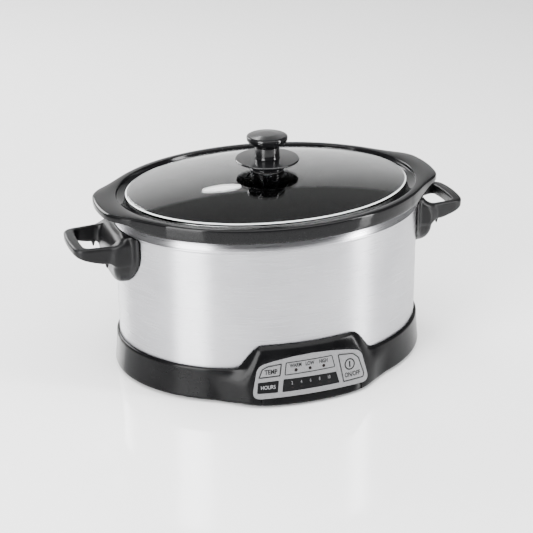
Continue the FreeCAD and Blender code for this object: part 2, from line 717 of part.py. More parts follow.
def make_handles():
    half, end = S.arm_half, S.handle_reach
    outline = ((120, -half - 8), (end - 12, -half), (end - 2, -half + 10), (end, 0),
               (end - 2, half - 10), (end - 12, half), (120, half + 8))
    ring = prism(outline, S.handle_top - S.handle_low, rounding=5, rounded=(1, 2, 4, 5))
    place(ring, 0, 0, S.handle_low)
    inner, grip = half - S.arm_thick, end - S.grip_thick
    window = prism(((S.boss_face - 4, -inner - 3), (grip - 6, -inner), (grip - 1, -inner + 7),
                    (grip, 0), (grip - 1, inner - 7), (grip - 6, inner),
                    (S.boss_face - 4, inner + 3)), 60)
    place(window, 0, 0, S.handle_low - 20)
    slope = doc.addObject("Part::Box", "Slope")
    for path, number in (("Length", 80), ("Width", 120), ("Height", 30)):
        bind(slope, path, number)
    place(slope, end - 20.7, -60, S.handle_low - 29.3, Y_AXIS, -17)

    profile = ((130, S.pad_low + 2), (S.boss_face - 7, S.pad_low + 3),
               (S.boss_face - 2, S.pad_low + 10), (S.boss_face, S.handle_low),
               (S.boss_face, S.handle_top - 7), (S.shell_half_length + 2, S.pad_top),
               (130, S.pad_top))
    wedge = prism(profile, S.boss_half * 2, plane="XZ_Plane", midplane=True)
    place(wedge)

    def shield(width):
        """Outline of the mounting pad seen from the side: straight top, rounded bottom."""
        drop = S.pad_top - S.pad_low
        return mirrored(((width * 0.24, S.pad_low), (width * 0.55, S.pad_low + drop * 0.13),
                         (width * 0.84, S.pad_low + drop * 0.36),
                         (width * 0.98, S.pad_low + drop * 0.62), (width, S.pad_top)))

    boss_mask = place(prism(shield(S.boss_half), 100, plane="YZ_Plane"), 110, 0, 0)
    pad_mask = place(prism(shield(S.pad_half), 100, plane="YZ_Plane"), 110, 0, 0)
    pad_ring = oval_column(S.pad_thick + S.shell_fit, S.pad_low - 1, S.pad_top + 1)
    boss = common(wedge, boss_mask)
    shell_clear = oval_column(S.shell_fit, S.pad_low - 5, S.handle_top + 20)
    shell_clear_bead = oval_column(S.bead_out + S.shell_fit, S.bead_level - 2.2,
                                   S.bead_level + 6)
    nub_outline = ((182, S.handle_low - 6), (184, S.handle_low - 6), (186.5, S.handle_low),
                   (186.5, S.handle_low + 4), (180, S.handle_low + 4), (180, S.handle_low))
    nubs = [prism(nub_outline, 4, plane="XZ_Plane", midplane=True) for _ in (0, 1)]
    for nub, side in zip(nubs, (-1, 1)):
        place(nub, 0, side * (half - 3))
    loop = cut(ring, slope)
    solid = cut(fuse(loop, *nubs), window)
    screw_bores = [rod(S.screw_radius, 53.5, 120, y, z, Y_AXIS, 90) for y, z in HANDLE_SCREWS]
    right = cut(fuse(solid, boss, common(pad_ring, pad_mask)), shell_clear, shell_clear_bead,
                *screw_bores)
    node("right_handle", right)
    node("left_handle", other_side(right))

    plates, fixings = [], []
    for side in (-1, 1):
        x_plate = side * (S.shell_half_length - 5.4)
        plate = block(1.5, 44, 22, x_plate, 0, 123)
        bores = [rod(S.screw_radius + 0.2, 20, side * (S.shell_half_length - 12), y, z, Y_AXIS,
                     side * 90) for y, z in HANDLE_SCREWS]
        plates.append(cut(plate, *bores))
        for y, z in HANDLE_SCREWS:
            fixing = screw(15, S.screw_radius - 0.02, S.screw_head, 2.2)
            fixings.append(place(fixing, side * (S.shell_half_length + 8.8), y, z, Y_AXIS,
                                 -side * 90))
    node("handle_plates", group(plates))
    node("handle_screws", group(fixings))


# ---------------------------------------------------------------- parts under the well

def make_inside():
    shield = oval_column(-24, S.base_top - 2.0, S.base_top - 1.2)
    feed = rod(9, 6, 30, 0, S.base_top - 4)
    probe = rod(6, 6, 0, 0, S.base_top - 4)
    node("heat_shield", cut(shield, feed, probe))

    brackets, fixings = [], []
    plate_top = S.foot_tall + S.plate_thick
    for x in (-88, 88):
        for y in (-52, 52):
            tall = S.base_top - 2.0 - plate_top
            brackets.append(place(turned(((2.1, 0), (5, 0), (5, tall), (2.1, tall))),
                                  x, y, plate_top))
            fixings.append(place(screw(10, 2, 4, 2), x, y, S.base_top - 1.2 - 10 + 0.02))
    holes = [rod(2.2, 5, x, y, S.base_top - 4) for x in (-88, 88) for y in (-52, 52)]
    nodes["heat_shield"] = cut(nodes["heat_shield"], *holes)
    nodes["heat_shield"].Label = "heat_shield"
    node("shield_posts", group(brackets))
    node("shield_screws", group(fixings))

    posts = []
    for x in (-70, 70):
        for y in (-40, 40):
            posts.append(rod(4, S.well_low - S.base_top + 1.2, x, y, S.base_top - 1.2))
    node("well_spacers", group(posts))

    # The temperature sensor is pressed up against the crock's underside by its own spring.
    sensor = turned(((0, 0), (5, 0), (5, 4), (3.5, 5), (0, 5)))
    sensor_low = S.crock_low - S.rest_clearance - 5
    node("temperature_sensor", place(sensor, 0, 0, sensor_low))
    spring = turned(((3.2, 0), (4.6, 0), (4.6, 4.5), (3.2, 4.5)))
    node("sensor_spring", place(spring, 0, 0, sensor_low - 4.5))
    post_tall = sensor_low - 4.5 - plate_top
    post = turned(((2.5, 0), (5, 0), (5, post_tall), (2.5, post_tall)))
    node("sensor_post", place(post, 0, 0, plate_top))

    fuse_body = turned(((0, 0), (2, 0), (2, 12), (0, 12)))
    well_front = -S.shell_half_depth + S.well_gap + S.well_taper
    node("thermal_fuse", place(fuse_body, -18, well_front - 5.2, S.well_low + 4.6, Y_AXIS, 90))
    node("fuse_clip", block(8, 0.8, 9, -12, well_front - 8.2, S.well_low + 0.5))

    board_low = plate_top + S.stand_off
    mid_x, mid_y = S.board_x, S.board_y
    corners = [(mid_x + dx, mid_y + dy) for dx in (-32, 32) for dy in (-20, 20)]
    board = block(76, 52, S.board, mid_x, mid_y, board_low)
    drilled = [rod(1.6, 8, x, y, board_low - 2) for x, y in corners]
    node("power_board", cut(board, *drilled))
    node("board_posts", group([cut(rod(3, S.stand_off, x, y, plate_top),
                                   rod(1.5, S.stand_off + 2, x, y, plate_top - 1))
                               for x, y in corners]))
    shank = 6
    pins = [place(screw(shank, 1.45, 2.8, 1.6), x, y, board_low + S.board - shank + 0.02)
            for x, y in corners]
    node("power_board_screws", group(pins))
    top = board_low + S.board
    node("power_relay", block(20, 15.5, 15, mid_x - 14, mid_y + 6, top))
    node("filter_capacitor", block(18, 8, 14, mid_x + 10, mid_y + 12, top))
    node("smoothing_capacitor", place(turned(((0, 0), (4, 0), (4, 12), (0, 12))),
                                      mid_x + 20, mid_y - 8, top))
    node("terminal_block", block(24, 10, 12, mid_x - 4, mid_y - 14, top))
    node("cord_clamp", cut(block(16, 10, 9, 0, 90, plate_top), rod(3.3, 14, 0, 83, plate_top + 9,
                                                                  X_AXIS, -90)))
    ribbon = prism(((-14, 0), (14, 0), (14, 1.2), (-14, 1.2)), 108, plane="XZ_Plane",
                   backwards=True)
    node("ribbon_cable", place(ribbon, 0, -S.shell_half_depth + 4, plate_top + 2))


make_shell()
make_well()
make_base()
make_panel()
make_crock()
make_lid()
make_handles()
make_inside()
doc.recompute()

# ---------------------------------------------------------------- checks and export

faults = [f"{item.Name} {item.Label} {item.getStatusString()}" for item in doc.Objects
          if {"Invalid", "Error"} & set(item.State)]
for name, part in nodes.items():
    if part.Shape.isNull() or not part.Shape.isValid() or not part.Shape.Solids:
        faults.append(name)
if faults:
    raise SystemExit(f"failed objects: {faults}")

os.makedirs("parts", exist_ok=True)
for name, part in nodes.items():
    part.Shape.exportStep(f"parts/{name}.step")
    box = part.Shape.BoundBox
    print(f"{name:22s} solids {len(part.Shape.Solids):2d}  volume {part.Shape.Volume / 1000:9.2f} cm3"
          f"  x {box.XMin:7.1f} {box.XMax:7.1f}  y {box.YMin:7.1f} {box.YMax:7.1f}"
          f"  z {box.ZMin:6.1f} {box.ZMax:6.1f}")
print(len(nodes), "nodes")
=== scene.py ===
import math

import bmesh
import bpy
import numpy as np
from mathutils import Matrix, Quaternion, Vector
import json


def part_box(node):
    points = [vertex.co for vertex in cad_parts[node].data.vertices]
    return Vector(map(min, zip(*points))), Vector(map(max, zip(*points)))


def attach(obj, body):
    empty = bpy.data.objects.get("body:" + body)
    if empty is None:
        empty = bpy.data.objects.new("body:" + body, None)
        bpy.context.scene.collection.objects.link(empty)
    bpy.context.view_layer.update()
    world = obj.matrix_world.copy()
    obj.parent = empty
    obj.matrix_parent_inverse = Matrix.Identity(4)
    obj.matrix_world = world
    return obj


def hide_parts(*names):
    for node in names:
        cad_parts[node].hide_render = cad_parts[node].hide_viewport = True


# The looks of an oval programmable slow cooker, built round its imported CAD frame.
#
# Most shapes are described in millimetres from the oval axis of the shell (x to the right,
# y to the back, z up from the floor) and turned into metres in the frame by to_frame().

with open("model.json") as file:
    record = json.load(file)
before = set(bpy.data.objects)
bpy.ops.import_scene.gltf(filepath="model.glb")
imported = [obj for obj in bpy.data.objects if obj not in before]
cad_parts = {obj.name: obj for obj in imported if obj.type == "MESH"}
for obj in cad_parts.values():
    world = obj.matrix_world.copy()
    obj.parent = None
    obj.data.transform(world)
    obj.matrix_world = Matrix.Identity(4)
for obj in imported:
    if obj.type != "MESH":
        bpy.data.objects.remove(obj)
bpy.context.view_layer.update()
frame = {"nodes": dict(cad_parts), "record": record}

MM = 0.001
BEAD_OUT = 1.0
SHELL_LOW, SHELL_HIGH = (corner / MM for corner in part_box("outer_shell"))
AXIS_Y = (SHELL_LOW.y + SHELL_HIGH.y) / 2
HALF_X = SHELL_HIGH.x - BEAD_OUT
HALF_Y = (SHELL_HIGH.y - SHELL_LOW.y) / 2 - BEAD_OUT


# ---------------------------------------------------------------- small helpers

def to_frame(points):
    """Millimetres from the oval axis, as an array of points in the frame in metres."""
    points = np.asarray(points, float).reshape(-1, 3) + (0.0, AXIS_Y, 0.0)
    return points * MM


def smooth_step(t):
    t = np.clip(t, 0, 1)
    return t * t * (3 - 2 * t)


def smooth_max(a, b, k):
    """The larger of two distances, with a round of about k where they meet."""
    h = np.maximum(k - np.abs(a - b), 0) / k
    return np.maximum(a, b) + h * h * k / 4


def smooth_min(a, b, k):
    return -smooth_max(-a, -b, k)


def finish_piece(obj, body, replaces=(), sharp=35):
    """Smooth shading, the body it rides on and the CAD nodes it stands for."""
    if obj.type == "MESH":
        mesh = obj.data
        mesh.polygons.foreach_set("use_smooth", [True] * len(mesh.polygons))
        mesh.set_sharp_from_angle(angle=math.radians(sharp))
    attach(obj, body)
    if replaces:
        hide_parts(*replaces)
    return obj


def new_object(name, points, faces, materials):
    """A mesh object from points in millimetres, counted from the oval axis."""
    mesh = bpy.data.meshes.new(name)
    mesh.from_pydata([tuple(point) for point in to_frame(points)], [], faces)
    mesh.validate()
    work = bmesh.new()
    work.from_mesh(mesh)
    bmesh.ops.recalc_face_normals(work, faces=work.faces)
    work.to_mesh(mesh)
    work.free()
    obj = bpy.data.objects.new(name, mesh)
    bpy.context.scene.collection.objects.link(obj)
    for material in materials:
        mesh.materials.append(material)
    return obj


def round_path(points, radii, steps=5, closed=False):
    """A polyline with each corner replaced by an arc of its own radius."""
    points = [Vector(point) for point in points]
    count = len(points)
    path = []
    for index, point in enumerate(points):
        radius = radii[index] if hasattr(radii, "__len__") else radii
        if radius <= 0 or (not closed and index in (0, count - 1)):
            path.append(tuple(point))
            continue
        before = points[index - 1] - point
        after = points[(index + 1) % count] - point
        angle = before.angle(after)
        reach = min(radius / math.tan(angle / 2), before.length * 0.49, after.length * 0.49)
        start, end = point + before.normalized() * reach, point + after.normalized() * reach
        for step in range(steps + 1):
            t = step / steps
            path.append(tuple(start * (1 - t) ** 2 + point * (2 * t * (1 - t)) + end * t ** 2))
    return path


def loft_rings(name, rings, materials, close=False):
    """Skin a list of rings, each an array of points. A ring of one point closes an end."""
    points, starts = [], []
    for ring in rings:
        starts.append(len(points))
        points.extend(ring)
    faces = []
    pairs = list(zip(range(len(rings) - 1), range(1, len(rings))))
    if close:
        pairs.append((len(rings) - 1, 0))
    for low, high in pairs:
        count = max(len(rings[low]), len(rings[high]))
        for index in range(count):
            after = (index + 1) % count
            corners = []
            for ring, spots in ((low, (index, after)), (high, (after, index))):
                if len(rings[ring]) == 1:
                    corners.append(starts[ring])
                else:
                    corners.extend(starts[ring] + spot for spot in spots)
            faces.append(tuple(corners))
    return new_object(name, points, faces, materials)


def oval_ring(half_x, half_y, z, count=320):
    """An ellipse of points, or one point when it has no size."""
    if half_x <= 0:
        return [(0.0, 0.0, z)]
    angles = [2 * math.pi * index / count for index in range(count)]
    return [(half_x * math.cos(a), half_y * math.sin(a), z) for a in angles]


def oval_band(name, profile, materials, count=320):
    """A closed oval solid whose cross-section is a loop of (distance outside the shell, z)."""
    rings = [oval_ring(HALF_X + out, HALF_Y + out, z, count) for out, z in profile]
    return loft_rings(name, rings, materials, close=True)


def turned(name, profile, materials, centre=(0, 0), count=96, radii=0.6):
    """A round solid from a rounded half profile of (radius, z), both ends on the axis or not."""
    path = round_path(profile, radii, closed=profile[0][0] > 0)
    rings = []
    for radius, z in path:
        ring = oval_ring(radius, radius, z, count)
        rings.append([(x + centre[0], y + centre[1], z) for x, y, z in ring])
    return loft_rings(name, rings, materials, close=profile[0][0] > 0)


# ---------------------------------------------------------------- meshes from distance fields

def surface_net(name, field, low, high, step, materials, mirror=False):
    """A closed mesh of the surface where field(x, y, z) is zero, inside negative."""
    axes = [np.arange(a, b + step, step) for a, b in zip(low, high)]
    grid = np.meshgrid(*axes, indexing="ij")
    values = field(*grid)
    inside = values < 0
    shape = [size - 1 for size in values.shape]
    total = np.zeros(shape + [3])
    crossings = np.zeros(shape)
    corner = [slice(None, -1), slice(1, None)]
    for axis in range(3):
        others = [a for a in range(3) if a != axis]
        for i in (0, 1):
            for j in (0, 1):
                near, far = [None] * 3, [None] * 3
                near[axis], far[axis] = corner[0], corner[1]
                near[others[0]] = far[others[0]] = corner[i]
                near[others[1]] = far[others[1]] = corner[j]
                a, b = values[tuple(near)], values[tuple(far)]
                crossed = (a < 0) != (b < 0)
                t = np.where(crossed, a / np.where(crossed, a - b, 1), 0)
                spot = np.zeros(shape + [3])
                spot[..., axis] = t
                spot[..., others[0]] = i
                spot[..., others[1]] = j
                total += np.where(crossed[..., None], spot, 0)
                crossings += crossed
    active = crossings > 0
    number = np.full(shape, -1)
    number[active] = np.arange(active.sum())
    cell = np.argwhere(active)
    points = (cell + total[active] / crossings[active][:, None]) * step + np.array(low)
    faces = []
    for axis in range(3):
        others = [a for a in range(3) if a != axis]
        near = [slice(1, -1)] * 3
        far = [slice(1, -1)] * 3
        near[axis], far[axis] = slice(None, -1), slice(1, None)
        a, b = inside[tuple(near)], inside[tuple(far)]
        for leaving in (True, False):
            edges = np.argwhere((a != b) & (a == leaving))
            base = edges + np.array([0 if index == axis else 1 for index in range(3)])
            loop = []
            for du, dv in ((0, 0), (1, 0), (1, 1), (0, 1)):
                spot = base.copy()
                spot[:, others[0]] -= du
                spot[:, others[1]] -= dv
                loop.append(number[tuple(spot.T)])
            quads = np.stack(loop, 1)
            if leaving == (axis == 1):
                quads = quads[:, ::-1]
            faces.append(quads)
    nudge = step * 0.05
    for _ in range(4):
        x, y, z = points.T
        value = field(x, y, z)
        slope = np.stack([(field(x + nudge, y, z) - field(x - nudge, y, z)),
                          (field(x, y + nudge, z) - field(x, y - nudge, z)),
                          (field(x, y, z + nudge) - field(x, y, z - nudge))], 1) / (2 * nudge)
        size = np.maximum((slope ** 2).sum(1), 0.1)
        move = slope * (value / size)[:, None]
        length = np.maximum(np.linalg.norm(move, axis=1), 1e-9)
        points -= move * np.minimum(1, 0.5 * step / length)[:, None]
    faces = np.concatenate(faces)
    if mirror:
        points = points * (-1, 1, 1)
        faces = faces[:, ::-1]
    return new_object(name, points, [tuple(int(i) for i in face) for face in faces], materials)


def oval_distance(x, y):
    """Distance outside the shell wall."""
    near = np.sqrt((x / HALF_X) ** 2 + (y / HALF_Y) ** 2)
    slope = np.sqrt((x / HALF_X ** 2) ** 2 + (y / HALF_Y ** 2) ** 2)
    return near * (near - 1) / np.maximum(slope, 1e-6)


# ---------------------------------------------------------------- materials

def new_material(name, **values):
    """A material whose shader takes the given uniform values on its own sockets."""
    material = bpy.data.materials.new(name)
    material.use_nodes = True
    shader = material.node_tree.nodes["Principled BSDF"]
    for socket, value in values.items():
        shader.inputs[socket.replace("_", " ")].default_value = value
    return material, material.node_tree, shader


def noise(tree, scale, stretch=(1, 1, 1), detail=3.0, roughness=0.5):
    """Noise in the object's own metres, stretched along the frame's axes."""
    place = tree.nodes.new("ShaderNodeTexCoord")
    mapping = tree.nodes.new("ShaderNodeMapping")
    mapping.inputs["Scale"].default_value = stretch
    texture = tree.nodes.new("ShaderNodeTexNoise")
    texture.inputs["Scale"].default_value = scale
    texture.inputs["Detail"].default_value = detail
    texture.inputs["Roughness"].default_value = roughness
    tree.links.new(place.outputs["Object"], mapping.inputs["Vector"])
    tree.links.new(mapping.outputs["Vector"], texture.inputs["Vector"])
    return texture.outputs["Fac"]


def ramp(tree, source, low, high, start=0.35, end=0.65):
    """Spread a noise value over a range of numbers."""
    spread = tree.nodes.new("ShaderNodeMapRange")
    spread.inputs["From Min"].default_value = start
    spread.inputs["From Max"].default_value = end
    spread.inputs["To Min"].default_value = low
    spread.inputs["To Max"].default_value = high
    tree.links.new(source, spread.inputs["Value"])
    return spread.outputs["Result"]


def tint(tree, shader, source, dark, light, start=0.35, end=0.65):
    """Colour that wanders between two tones."""
    colours = tree.nodes.new("ShaderNodeValToRGB")
    colours.color_ramp.elements[0].position = start
    colours.color_ramp.elements[1].position = end
    colours.color_ramp.elements[0].color = (*dark, 1)
    colours.color_ramp.elements[1].color = (*light, 1)
    tree.links.new(source, colours.inputs["Fac"])
    tree.links.new(colours.outputs["Color"], shader.inputs["Base Color"])


def bump(tree, shader, source, strength, distance):
    lift = tree.nodes.new("ShaderNodeBump")
    lift.inputs["Strength"].default_value = strength
    lift.inputs["Distance"].default_value = distance
    tree.links.new(source, lift.inputs["Height"])
    tree.links.new(lift.outputs["Normal"], shader.inputs["Normal"])


def metal(name, dark, light, roughness, grain=(1, 1, 1), grain_scale=900.0, strength=0.05,
          brushed=0.0):
    material, tree, shader = new_material(name, Metallic=1.0, Anisotropic=brushed,
                                          Anisotropic_Rotation=0.25)
    if brushed:
        around = tree.nodes.new("ShaderNodeTangent")
        around.direction_type = "RADIAL"
        around.axis = "Z"
        tree.links.new(around.outputs["Tangent"], shader.inputs["Tangent"])
    lines = noise(tree, grain_scale, grain, detail=4.0)
    clouds = noise(tree, 14.0)
    tint(tree, shader, clouds, dark, light)
    tree.links.new(ramp(tree, lines, roughness - 0.05, roughness + 0.06),
                   shader.inputs["Roughness"])
    bump(tree, shader, lines, strength, 0.00005)
    return material


def plastic(name, dark, light, roughness, grain_scale=2600.0, strength=0.12, specular=0.5):
    material, tree, shader = new_material(name, Specular_IOR_Level=specular)
    grain = noise(tree, grain_scale, detail=2.0)
    clouds = noise(tree, 30.0)
    tint(tree, shader, clouds, dark, light)
    tree.links.new(ramp(tree, clouds, roughness - 0.03, roughness + 0.04),
                   shader.inputs["Roughness"])
    bump(tree, shader, grain, strength, 0.00004)
    return material


def glaze():
    material, tree, shader = new_material("crock_glaze", Specular_IOR_Level=0.15)
    ripple = noise(tree, 55.0, detail=2.0)
    specks = noise(tree, 1500.0, detail=1.0)
    tint(tree, shader, specks, (0.002, 0.002, 0.0022), (0.006, 0.006, 0.0065), 0.3, 0.75)
    tree.links.new(ramp(tree, ripple, 0.07, 0.12), shader.inputs["Roughness"])
    bump(tree, shader, ripple, 0.10, 0.0004)
    return material


def clear_glass():
    material, tree, shader = new_material("lid_glass", Transmission_Weight=1.0, IOR=1.47,
                                          Specular_IOR_Level=0.5)
    smear = noise(tree, 9.0, detail=2.0)
    tint(tree, shader, smear, (0.93, 0.95, 0.95), (0.98, 0.99, 0.99))
    tree.links.new(ramp(tree, smear, 0.0, 0.025), shader.inputs["Roughness"])
    return material


def ground_glass():
    material, tree, shader = new_material("ground_glass_edge", Transmission_Weight=0.25,
                                          IOR=1.47)
    grain = noise(tree, 3500.0, detail=1.0)
    tint(tree, shader, grain, (0.80, 0.83, 0.83), (0.97, 0.98, 0.98))
    tree.links.new(ramp(tree, grain, 0.42, 0.58), shader.inputs["Roughness"])
    bump(tree, shader, grain, 0.2, 0.00003)
    return material


def speckled_film():
    material, tree, shader = new_material("panel_grey", Metallic=0.15, Specular_IOR_Level=0.3)
    specks = noise(tree, 2300.0, detail=2.0, roughness=0.7)
    tint(tree, shader, specks, (0.10, 0.10, 0.104), (0.21, 0.21, 0.216), 0.38, 0.66)
    tree.links.new(ramp(tree, specks, 0.42, 0.55), shader.inputs["Roughness"])
    bump(tree, shader, specks, 0.06, 0.00003)
    return material


def woven(name, dark, light):
    material, tree, shader = new_material(name)
    threads = noise(tree, 700.0, (1, 1, 3))
    tint(tree, shader, threads, dark, light)
    tree.links.new(ramp(tree, threads, 0.8, 0.95), shader.inputs["Roughness"])
    bump(tree, shader, threads, 0.5, 0.0003)
    return material


STEEL = metal("shell_steel", (0.41, 0.41, 0.43), (0.47, 0.47, 0.49), 0.31,
              grain=(0.02, 0.02, 1.0), grain_scale=1500.0, strength=0.02, brushed=0.85)
ALUMINIUM = metal("well_aluminium", (0.58, 0.59, 0.60), (0.70, 0.71, 0.72), 0.42,
                  grain=(0.05, 0.05, 1.0), grain_scale=900.0, strength=0.12)
PLATED = metal("plated_steel", (0.45, 0.46, 0.48), (0.62, 0.63, 0.65), 0.36)
BRASS = metal("brass_tabs", (0.62, 0.44, 0.18), (0.80, 0.60, 0.28), 0.32)
BASE_BLACK = plastic("base_black", (0.002, 0.002, 0.0023), (0.004, 0.004, 0.0043), 0.18,
                     specular=0.09)
HANDLE_BLACK = plastic("handle_black", (0.003, 0.003, 0.0033), (0.005, 0.005, 0.0055), 0.34,
                       strength=0.2, specular=0.16)
KNOB_BLACK = plastic("knob_black", (0.003, 0.003, 0.0035), (0.006, 0.006, 0.0065), 0.14,
                     specular=0.3)
RUBBER = plastic("foot_rubber", (0.012, 0.012, 0.012), (0.025, 0.025, 0.025), 0.75, 900.0, 0.5)
INNER_BLACK = plastic("carrier_black", (0.015, 0.015, 0.016), (0.03, 0.03, 0.03), 0.5)
DISPLAY_BLACK = plastic("display_black", (0.002, 0.002, 0.0025), (0.004, 0.004, 0.0045), 0.16,
                        specular=0.15)
PRINT_BLACK = plastic("print_black", (0.003, 0.003, 0.003), (0.006, 0.006, 0.006), 0.45,
                      specular=0.15)
PRINT_PALE = plastic("print_pale", (0.20, 0.20, 0.21), (0.28, 0.28, 0.29), 0.5)
PRINT_DIM = plastic("print_dim", (0.07, 0.07, 0.075), (0.11, 0.11, 0.115), 0.5)
LENS = plastic("lamp_lens", (0.005, 0.004, 0.004), (0.009, 0.006, 0.006), 0.12,
               specular=0.2)
BOARD = plastic("board_green", (0.015, 0.09, 0.035), (0.03, 0.15, 0.06), 0.4)
RIBBON = plastic("ribbon_grey", (0.35, 0.35, 0.37), (0.5, 0.5, 0.52), 0.5)
MICA = plastic("heater_mica", (0.42, 0.34, 0.22), (0.62, 0.53, 0.38), 0.5)
FIBRE = woven("glass_fibre", (0.62, 0.61, 0.56), (0.85, 0.84, 0.80))
GLAZE = glaze()
GLASS = clear_glass()
GROUND = ground_glass()
FILM = speckled_film()

SLOT_MATERIALS = {
    "shell_steel": STEEL, "well_aluminium": ALUMINIUM, "plated_steel": PLATED,
    "brass_tabs": BRASS, "base_black": BASE_BLACK, "handle_black": HANDLE_BLACK,
    "knob_black": KNOB_BLACK, "foot_rubber": RUBBER, "carrier_black": INNER_BLACK,
    "display_black": DISPLAY_BLACK, "lamp_lens": LENS, "board_green": BOARD,
    "ribbon_grey": RIBBON, "heater_mica": MICA, "glass_fibre": FIBRE, "crock_glaze": GLAZE,
    "lid_glass": GLASS, "panel_grey": FILM,
}


def paint_cad_nodes():
    """Every carried-over CAD node takes the material of its slot in the record."""
    for subpart in frame["record"]["subparts"]:
        obj = frame["nodes"][subpart["node"]]
        obj.data.materials.clear()
        obj.data.materials.append(SLOT_MATERIALS[subpart["material_slot"]])


# ---------------------------------------------------------------- shell and well

SHOULDER = 175.0
SHELL_BOTTOM = 30.0
BEAD = 165.5
SHEET = 0.8


def make_shell():
    outer = round_path([(-SHEET, SHELL_BOTTOM), (0, SHELL_BOTTOM), (0, BEAD - 2.2),
                        (BEAD_OUT, BEAD - 1.2), (BEAD_OUT, BEAD - 0.1), (0.1, BEAD + 0.9),
                        (-4.0, SHOULDER - 1.4), (-5.6, SHOULDER)],
                       [0, 0.3, 1.2, 0.5, 0.5, 0.8, 1.6, 0])
    inner = [(-6.4, SHOULDER - 0.6), (-4.8, SHOULDER - 2.2), (-0.9, BEAD), (-SHEET, BEAD - 2)]
    shell = oval_band("shell_skin", outer + inner, [STEEL])
    finish_piece(shell, "root", ["outer_shell"])


def make_well():
    """The drawn heating well that the crock stands in, with its flange and sensor hole."""
    top, low = SHOULDER, 43.0
    skin = 0.7
    outer = round_path([(-7.2, top - skin), (-10.0, top - skin), (-10.6, top - 5),
                        (-18, low + 9), (-30, low), (-70, low)], [0, 1.5, 2, 6, 14, 0])
    rings = [oval_ring(HALF_X + out, HALF_Y + out, z) for out, z in outer]
    rings += [oval_ring(5.5, 5.5, low), oval_ring(5.5, 5.5, low + skin)]
    inner = round_path([(-70.7, low + skin), (-30, low + skin), (-18.7, low + 9.2),
                        (-11.3, top - 5), (-10.6, top), (-7.2, top)], [0, 14, 6, 2, 1.5, 0])
    rings += [oval_ring(HALF_X + out, HALF_Y + out, z) for out, z in inner]
    well = loft_rings("well_pan", rings, [ALUMINIUM], close=True)
    finish_piece(well, "root", ["heating_well"])


# ---------------------------------------------------------------- crock

LEDGE = 186.4
RIM_OUT = 6.0
LUG_REACH, LUG_FLARE, LUG_ROOT = 185.9, 147.0, 132.0


def lug_outline(angle):
    """How far the rim's outer edge reaches in one direction, with and without the lug."""
    oval = 1 / math.hypot(math.cos(angle) / (HALF_X + RIM_OUT),
                          math.sin(angle) / (HALF_Y + RIM_OUT))
    along_x, along_y = abs(math.cos(angle)), abs(math.sin(angle))

    def outside(radius):
        x, y = radius * along_x, radius * along_y
        end = x + y * y / 260 - LUG_REACH
        flare = 0.66 * x + 0.751 * y - LUG_FLARE
        lug = smooth_max(smooth_max(end, flare, 7.0), LUG_ROOT - x, 6.0)
        return smooth_min(lug, radius - oval, 6.0)

    low, high = oval - 4.0, LUG_REACH + 6.0
    for _ in range(40):
        middle = (low + high) / 2
        if outside(middle) < 0:
            low = middle
        else:
            high = middle
    return oval, max(oval, low)


def make_crock():
    count = 720
    # The rim, as (distance outside the shell, z, share of the lug's reach, z on the lug).
    rim = [(-12.0, 176.4, 0.0, 176.4), (-10.0, 175.7, 0.0, 175.8), (1.0, 175.6, 0.0, 175.9),
           (3.8, 175.7, 0.30, 179.2), (5.0, 176.0, 0.72, 182.2), (5.7, 176.6, 0.93, 183.6),
           (6.0, 177.6, 0.99, 184.4), (5.9, 180.5, 1.0, 185.2), (5.8, 185.0, 1.0, 186.8),
           (5.75, 188.7, 1.0, 188.6), (5.5, 189.8, 0.99, 189.7), (4.9, 190.5, 0.97, 190.45),
           (3.9, 190.8, 0.93, 190.8), (1.5, 190.8, 0.45, 190.8), (-1.2, 190.8, 0.0, 190.8),
           (-2.0, 190.5, 0.0, 190.5), (-2.4, 189.8, 0.0, 189.8), (-2.7, 187.4, 0.0, 187.4),
           (-3.4, 186.5, 0.0, 186.5)]
    outline = [lug_outline(2 * math.pi * index / count) for index in range(count)]
    rings = []
    for out, z, share, z_lug in rim:
        ring = []
        for index in range(count):
            angle = 2 * math.pi * index / count
            plain, reach = outline[index]
            radius = 1 / math.hypot(math.cos(angle) / (HALF_X + out),
                                    math.sin(angle) / (HALF_Y + out))
            extra = reach - plain
            radius += share * extra
            lift = smooth_step(extra / 9.0)
            ring.append((radius * math.cos(angle), radius * math.sin(angle),
                         z + (z_lug - z) * lift))
        rings.append(ring)

    def even_ring(half_x, half_y, z):
        points = []
        for index in range(count):
            angle = 2 * math.pi * index / count
            radius = 1 / math.hypot(math.cos(angle) / half_x, math.sin(angle) / half_y)
            points.append((radius * math.cos(angle), radius * math.sin(angle), z))
        return points

    inside = round_path([(-3.4, LEDGE), (-18.0, LEDGE), (-19.6, LEDGE - 3), (-24, 74),
                         (-36, 54.6), (-80, 54.4)], [0, 1.2, 3, 30, 22, 0])
    rings += [even_ring(HALF_X + out, HALF_Y + out, z) for out, z in inside[1:]]
    rings.append([(0.0, 0.0, 54.4)])
    outside = round_path([(-80, 47.5), (-40, 47.5), (-38, 46.5), (-29, 46.5), (-24.5, 51),
                          (-18.5, 68), (-13.6, 172), (-12.0, 176.4)],
                         [0, 0.5, 0.5, 2, 8, 30, 2, 0])
    rings = ([[(0.0, 0.0, 47.5)]]
             + [even_ring(HALF_X + out, HALF_Y + out, z) for out, z in outside[:-1]] + rings)
    crock = loft_rings("crock_glazed", rings, [GLAZE])
    finish_piece(crock, "crock", ["crock"], sharp=60)


# ---------------------------------------------------------------- lid and knob

LID_GAP = 12.3
LID_LOW = 186.7
GLASS_THICK = 4.0
DOME_RISE = 15.5


LID_FACETS = 40


